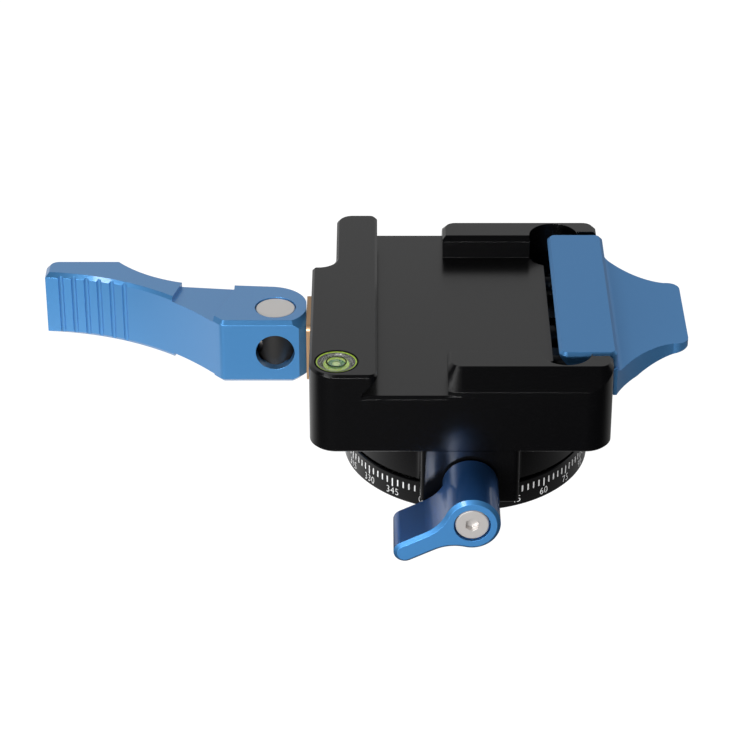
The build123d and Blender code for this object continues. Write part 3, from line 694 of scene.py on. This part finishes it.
@dataclass
class RoundLevel:
    """Round level: cup, fluid, funnel, painted shade ring in the gap, printed ring, bubble and clear
    window.

    A depth is measured down from the top of the cup, and a height is a piece's own.
    """

    axis: tuple[float, float] = LEVEL_AXIS
    cup_top: float = LEVEL_TOP
    plug_depth: float = 1.45 * MM
    plug_radius: float = 3.3 * MM
    core_depth: float = 0.45 * MM
    core_radius: float = 2.54 * MM
    funnel_depth: float = 0.1 * MM
    funnel_wall: float = 0.08 * MM
    edge_inner: float = 3.7 * MM
    edge_outer: float = 3.98 * MM
    edge_height: float = 0.06 * MM
    gasket_outer: float = 4.3 * MM
    gasket_height: float = 0.17 * MM
    window_height: float = 0.12 * MM
    print_radius: float = 2.04 * MM
    print_width: float = 0.28 * MM
    print_height: float = 0.02 * MM
    shade_height: float = 0.06 * MM
    bubble_radius: float = 0.8 * MM
    bubble_height: float = 0.3 * MM
    bubble_steps: int = 32
    round_steps: int = 96

    def disc(self, name: str, outer: float, low: float, high: float, inner: float = 0.0) -> Piece:
        """Model a disc or a flat ring about the level's axis.

        Args:
            name: The piece's name.
            outer: Its outer radius.
            low: Its underside's height above the top of the cup.
            high: Its top's height above the top of the cup.
            inner: The radius of its hole, or 0 for none.

        Returns:
            The closed piece.
        """
        place = (*self.axis, self.cup_top + low)
        bpy.ops.mesh.primitive_circle_add(
            vertices=self.round_steps, radius=outer, fill_type="NGON", location=place
        )
        piece = take_added(name)
        start_edit()
        if inner:
            bpy.ops.mesh.inset(thickness=outer - inner)
            bpy.ops.mesh.delete(type="FACE")
            bpy.ops.mesh.select_all(action="SELECT")
        raise_faces(high - low)
        end_edit()
        smooth(piece)
        return piece

    def funnel(self) -> Piece:
        """Model the bright funnel between the fluid and the window's rim.

        Returns:
            The funnel, with a thin wall.
        """
        middle_depth = (self.plug_depth + self.funnel_depth) / 2
        bpy.ops.mesh.primitive_cone_add(
            vertices=self.round_steps, radius1=self.core_radius, radius2=self.plug_radius,
            depth=self.plug_depth - self.funnel_depth, end_fill_type="NOTHING",
            location=(*self.axis, self.cup_top - middle_depth),
        )
        piece = take_added("level_funnel")
        wall = piece.modifiers.new("wall", "SOLIDIFY")
        wall.thickness = self.funnel_wall
        apply_modifiers(piece)
        smooth(piece)
        return piece

    def bubble(self) -> Piece:
        """Model the bubble, a flattened ball cut just below its middle.

        The cut's own tolerance leaves a few rings under its plane, in the fluid.

        Returns:
            The bubble.
        """
        place = (*self.axis, self.cup_top - self.core_depth)
        bpy.ops.mesh.primitive_uv_sphere_add(
            segments=2 * self.bubble_steps, ring_count=self.bubble_steps, radius=self.bubble_radius,
            location=place,
        )
        piece = take_added("level_bubble", (1.0, 1.0, self.bubble_height / self.bubble_radius))
        start_edit()
        bpy.ops.mesh.bisect(plane_co=place, plane_no=(0.0, 0.0, 1.0), use_fill=True, clear_inner=True)
        bpy.ops.object.mode_set(mode="OBJECT")
        smooth(piece)
        return piece

    def build(self) -> None:
        """Dress the level and model what shows through its window."""
        dress_nodes(LEVEL_CASE, "level_cup")
        fluid = dress_nodes(LEVEL_FLUID, "level_liquid")
        hole = self.print_radius - self.print_width
        print_top = self.window_height + self.print_height
        shade_top = self.shade_height - self.core_depth
        pieces = (
            (self.disc("level_core", self.core_radius, -self.plug_depth, -self.core_depth), fluid),
            (self.funnel(), LEVEL_CASE.material()),
            (self.disc("level_edge", self.edge_outer, 0.0, self.edge_height, self.edge_inner), fluid),
            # A near black ring in the gap round the window: painted shade of the gap
            (
                self.disc("level_gap_shade", self.gasket_outer, 0.0, self.gasket_height, self.edge_outer),
                GAP_SHADE.material(),
            ),
            (
                self.disc("level_print", self.print_radius, self.window_height, print_top, hole),
                RING_PRINT.material(),
            ),
            (self.disc("level_shade", hole, -self.core_depth, shade_top), LEVEL_SHADE.material()),
            (self.bubble(), BUBBLE_SKIN.material()),
        )
        for piece, material in pieces:
            dress(piece, material)
            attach(piece, "clamp")
        window = self.disc("level_window", self.edge_inner, 0.0, self.window_height)
        dress(window, ACRYLIC.material())
        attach(window, "clamp")
        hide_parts("level_lens")


@dataclass
class JawAndScrew:
    """Moving jaw with its pins, draw screw, cross pin and return spring."""

    spring_wire: float = 0.4 * MM
    spring_turns: int = 7
    wire_steps: int = 12
    turn_steps: int = 40
    travel: float = 2.2 * MM

    def spring(self) -> Piece:
        """Model the return spring, a wire wound round the draw screw.

        Returns:
            The spring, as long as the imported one.
        """
        low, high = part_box("jaw_spring")
        coil_radius = (high[1] - low[1]) / 2 - self.spring_wire
        bpy.ops.mesh.primitive_circle_add(
            vertices=self.wire_steps, radius=self.spring_wire, location=(0.0, coil_radius, 0.0)
        )
        piece = take_added("return_spring")
        winding = piece.modifiers.new("winding", "SCREW")
        winding.axis = "X"
        winding.screw_offset = (high[0] - low[0] - 2 * self.spring_wire) / self.spring_turns
        winding.iterations = self.spring_turns
        winding.steps = self.turn_steps
        winding.render_steps = self.turn_steps
        apply_modifiers(piece)
        start_edit()
        bpy.ops.mesh.fill_holes(sides=0)
        end_edit()
        piece.location = (low[0] + self.spring_wire, 0.0, (low[2] + high[2]) / 2)
        own_place(piece)
        smooth(piece)
        return piece

    def build(self) -> None:
        """Dress the jaw's pieces and model the return spring in place of the imported one."""
        dress_nodes(DEEP_BLUE_ANODISED, "moving_jaw")
        dress_nodes(PIN_STEEL, "cross_pin")
        # The draw screw's dark grey is painted shade
        dress_nodes(SCREW_STEEL, "draw_screw")
        oxide = dress_nodes(BLACK_OXIDE, "guide_pins")
        spring = self.spring()
        dress(spring, oxide)
        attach(spring, "clamp")
        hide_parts("jaw_spring")
        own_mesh(spring)


class CamLever:
    """Lever with its cam."""

    def build(self) -> None:
        """Dress the lever."""
        dress_nodes(BLUE_ANODISED, "lever")


@dataclass(frozen=True)
class Softbox:
    """A rectangular lamp that faces a point, by default the object's middle."""

    name: str
    place: Point
    width: float
    height: float
    power: float
    aim: Point = (0.0, 0.0, 20 * MM)

    def build(self) -> None:
        """Add the lamp."""
        lamp = bpy.data.lights.new(self.name, "AREA")
        lamp.shape = "RECTANGLE"
        lamp.size = self.width
        lamp.size_y = self.height
        lamp.energy = self.power
        holder = bpy.data.objects.new(self.name, lamp)
        holder.location = self.place
        holder.rotation_euler = (Vector(self.aim) - Vector(self.place)).to_track_quat("-Z", "Y").to_euler()
        bpy.context.scene.collection.objects.link(holder)


@dataclass
class Studio:
    """White floor and world, dark in front of the object to what is glossy, with two lamps and the camera.

    A glow is how bright the surroundings look in a glossy surface. The world
    turns from its front to its back glow between two shares of the way to +Y.
    """

    floor_size: float = 6.0
    back_glow: float = 0.62
    front_glow: float = 0.02
    front_end: float = 0.05
    back_start: float = 0.3
    left_lamp: Softbox = Softbox("left_softbox", (-0.44, -0.54, 0.72), width=0.5, height=0.15, power=2.2)
    front_lamp: Softbox = Softbox("front_softbox", (-0.3, -0.95, 0.15), width=0.7, height=0.22, power=12.6)
    camera_place: Point = (-18.65 * MM, -507.7 * MM, 321.9 * MM)
    camera_pitch: float = 31.0
    camera_near: float = 10 * MM
    camera_far: float = 20.0
    # The lens and the sensor are in millimetres, as Blender has them
    lens: float = 139.2
    sensor: float = 36.0

    def build(self) -> None:
        """Add the floor, world, lamps and camera."""
        self.floor()
        self.world()
        self.left_lamp.build()
        self.front_lamp.build()
        self.camera()

    def floor(self) -> None:
        """Add the floor that the object stands on."""
        bpy.ops.mesh.primitive_plane_add(size=self.floor_size)
        piece = take_added("floor")
        dress(piece, StudioFloor("pale_floor", "#E4E4E4", self.back_glow).material())

    def world(self) -> None:
        """Make the world white where it is seen, dimmer as a light, and dark in front to what is glossy."""
        world = bpy.data.worlds.new("studio_world")
        bpy.context.scene.world = world
        world.use_nodes = True
        tree = world.node_tree
        tree.nodes.clear()
        ray = add_node(tree, "LightPath", {}).outputs
        direction = add_node(tree, "TexCoord", {}).outputs["Generated"]
        along = add_node(tree, "SeparateXYZ", {0: direction}).outputs
        to_the_back = {
            "Value": along["Y"], "From Min": self.front_end, "From Max": self.back_start,
            "To Min": self.front_glow, "To Max": self.back_glow,
        }
        glow = add_node(tree, "MapRange", to_the_back, interpolation_type="SMOOTHSTEP").outputs[0]
        sight = {0: ray["Is Camera Ray"], 1: ray["Is Transmission Ray"]}
        seen = add_node(tree, "Math", sight, operation="MAXIMUM").outputs[0]
        strength = add_node(tree, "MapRange", {"Value": seen, "To Min": glow, "To Max": 1.0}).outputs[0]
        background = add_node(tree, "Background", {"Color": WHITE, "Strength": strength})
        add_node(tree, "OutputWorld", {"Surface": background.outputs[0]})

    def camera(self) -> None:
        """Add the camera at the photograph's place."""
        view = bpy.data.cameras.new("camera")
        view.lens = self.lens
        view.sensor_width = self.sensor
        view.clip_start = self.camera_near
        view.clip_end = self.camera_far
        holder = bpy.data.objects.new("camera", view)
        holder.location = self.camera_place
        holder.rotation_euler = (radians(90.0 - self.camera_pitch), 0.0, 0.0)
        bpy.context.scene.collection.objects.link(holder)
        bpy.context.scene.camera = holder


def main() -> None:
    """Build every sub-assembly in order, then the studio."""
    logging.basicConfig(level=logging.INFO, format="%(message)s")
    bpy.context.scene.view_settings.view_transform = "Standard"
    for part in (PanBase(), PanHousing(), LockKnob(), ClampBody(), RoundLevel(), JawAndScrew(), CamLever()):
        part.build()
        log.info("built %s", type(part).__name__)
    Studio().build()


if __name__ == "__main__":
    main()
